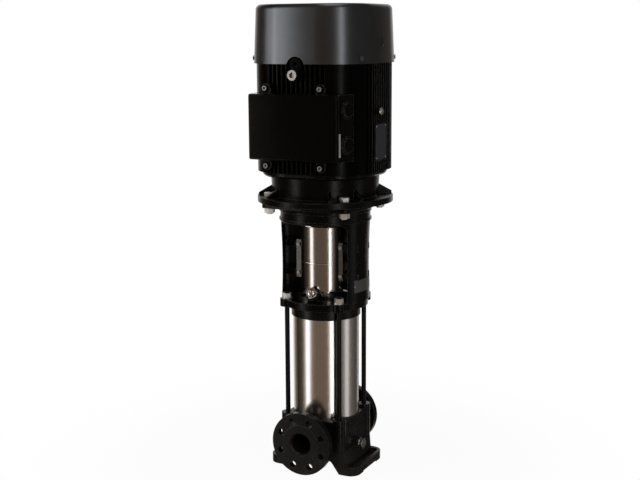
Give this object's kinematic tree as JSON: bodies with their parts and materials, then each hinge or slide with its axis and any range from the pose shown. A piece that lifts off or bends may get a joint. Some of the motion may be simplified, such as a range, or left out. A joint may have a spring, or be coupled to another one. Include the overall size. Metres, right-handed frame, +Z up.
{
  "type": "vertical multistage pump",
  "caption": "Vertical in-line multistage pump: flanged cast foot, stainless sleeve held by staybolts, motor stool with coupling guards and a finned electric motor.",
  "frame": {"origin": "on the shaft axis, in the plane of the foot's underside", "axes": "+Z up along the shaft, towards the motor; +Y out of the discharge port; -Y out of the suction port, the side of the terminal box"},
  "size_m": [0.35, 0.355, 1.204],
  "materials": {
    "cast_iron_black": "black enamel on slightly rough castings",
    "motor_black": "satin black paint on die-cast aluminium",
    "cover_grey": "satin dark warm grey paint on pressed steel",
    "stainless_bright": "polished stainless sheet",
    "shaft_steel": "ground steel",
    "zinc_steel": "bright zinc plate",
    "black_oxide": "black oxide",
    "coupling_iron": "machined grey iron",
    "rubber_black": "black rubber",
    "neck_ring_plastic": "filled plastic",
    "seal_carbide": "sintered carbide",
    "lamination_steel": "stacked sheet",
    "winding_copper": "varnished copper",
    "fan_plastic": "black moulded plastic"
  },
  "bodies": {
    "pump": {"bearing_outer_rings": "shaft_steel", "cable_entry_plugs": "fan_plastic", "chamber_1": "stainless_bright", "chamber_2": "stainless_bright", "chamber_3": "stainless_bright", "chamber_4": "stainless_bright", "chamber_5": "stainless_bright", "chamber_6": "stainless_bright", "chamber_straps": "stainless_bright", "coupling_guards": "stainless_bright", "drain_plug": "zinc_steel", "drive_end_shield": "cast_iron_black", "fan_cover": "cover_grey", "fan_cover_screws": "zinc_steel", "fan_end_shield": "motor_black", "flange_bolts": "zinc_steel", "flange_nuts": "zinc_steel", "guard_screws": "zinc_steel", "inlet_part": "stainless_bright", "lifting_screw": "zinc_steel", "motor_stool": "cast_iron_black", "neck_rings": "neck_ring_plastic", "outer_sleeve": "stainless_bright", "plug_gaskets": "rubber_black", "priming_plug": "zinc_steel", "pump_base": "cast_iron_black", "pump_head": "cast_iron_black", "seal_cover": "stainless_bright", "seal_seat": "seal_carbide", "sleeve_o_rings": "rubber_black", "stator_core": "lamination_steel", "stator_housing": "motor_black", "stator_windings": "winding_copper", "staybolt_nuts": "zinc_steel", "staybolt_washers": "zinc_steel", "staybolts": "black_oxide", "terminal_board": "fan_plastic", "terminal_box": "motor_black", "terminal_box_gasket": "rubber_black", "terminal_box_lid": "motor_black", "terminal_box_screws": "zinc_steel", "top_chamber": "stainless_bright"},
    "rotor": {"pump_shaft": "shaft_steel", "impeller_1": "stainless_bright", "impeller_2": "stainless_bright", "impeller_3": "stainless_bright", "impeller_4": "stainless_bright", "impeller_5": "stainless_bright", "impeller_6": "stainless_bright", "impeller_spacers": "stainless_bright", "impeller_lock_nut": "stainless_bright", "rotating_seal": "seal_carbide", "coupling_halves": "coupling_iron", "coupling_screws": "black_oxide", "coupling_pin": "shaft_steel", "motor_shaft": "shaft_steel", "rotor_core": "lamination_steel", "bearing_inner_rings": "shaft_steel", "cooling_fan": "fan_plastic"},
    "ball_sets": {"bearing_ball_sets": "shaft_steel"}
  },
  "joints": [
    {"name": "rotor_spin", "type": "hinge", "parent": "pump", "child": "rotor", "pos_m": [0, 0, 0.6], "axis": [0, 0, 1], "continuous": true},
    {"name": "ball_sets_roll", "type": "hinge", "parent": "pump", "child": "ball_sets", "pos_m": [0, 0, 0.75], "axis": [0, 0, 1], "continuous": true}
  ],
  "couplings": [
    {"joint": "ball_sets_roll", "follows": "rotor_spin", "ratio": 0.38}
  ]
}
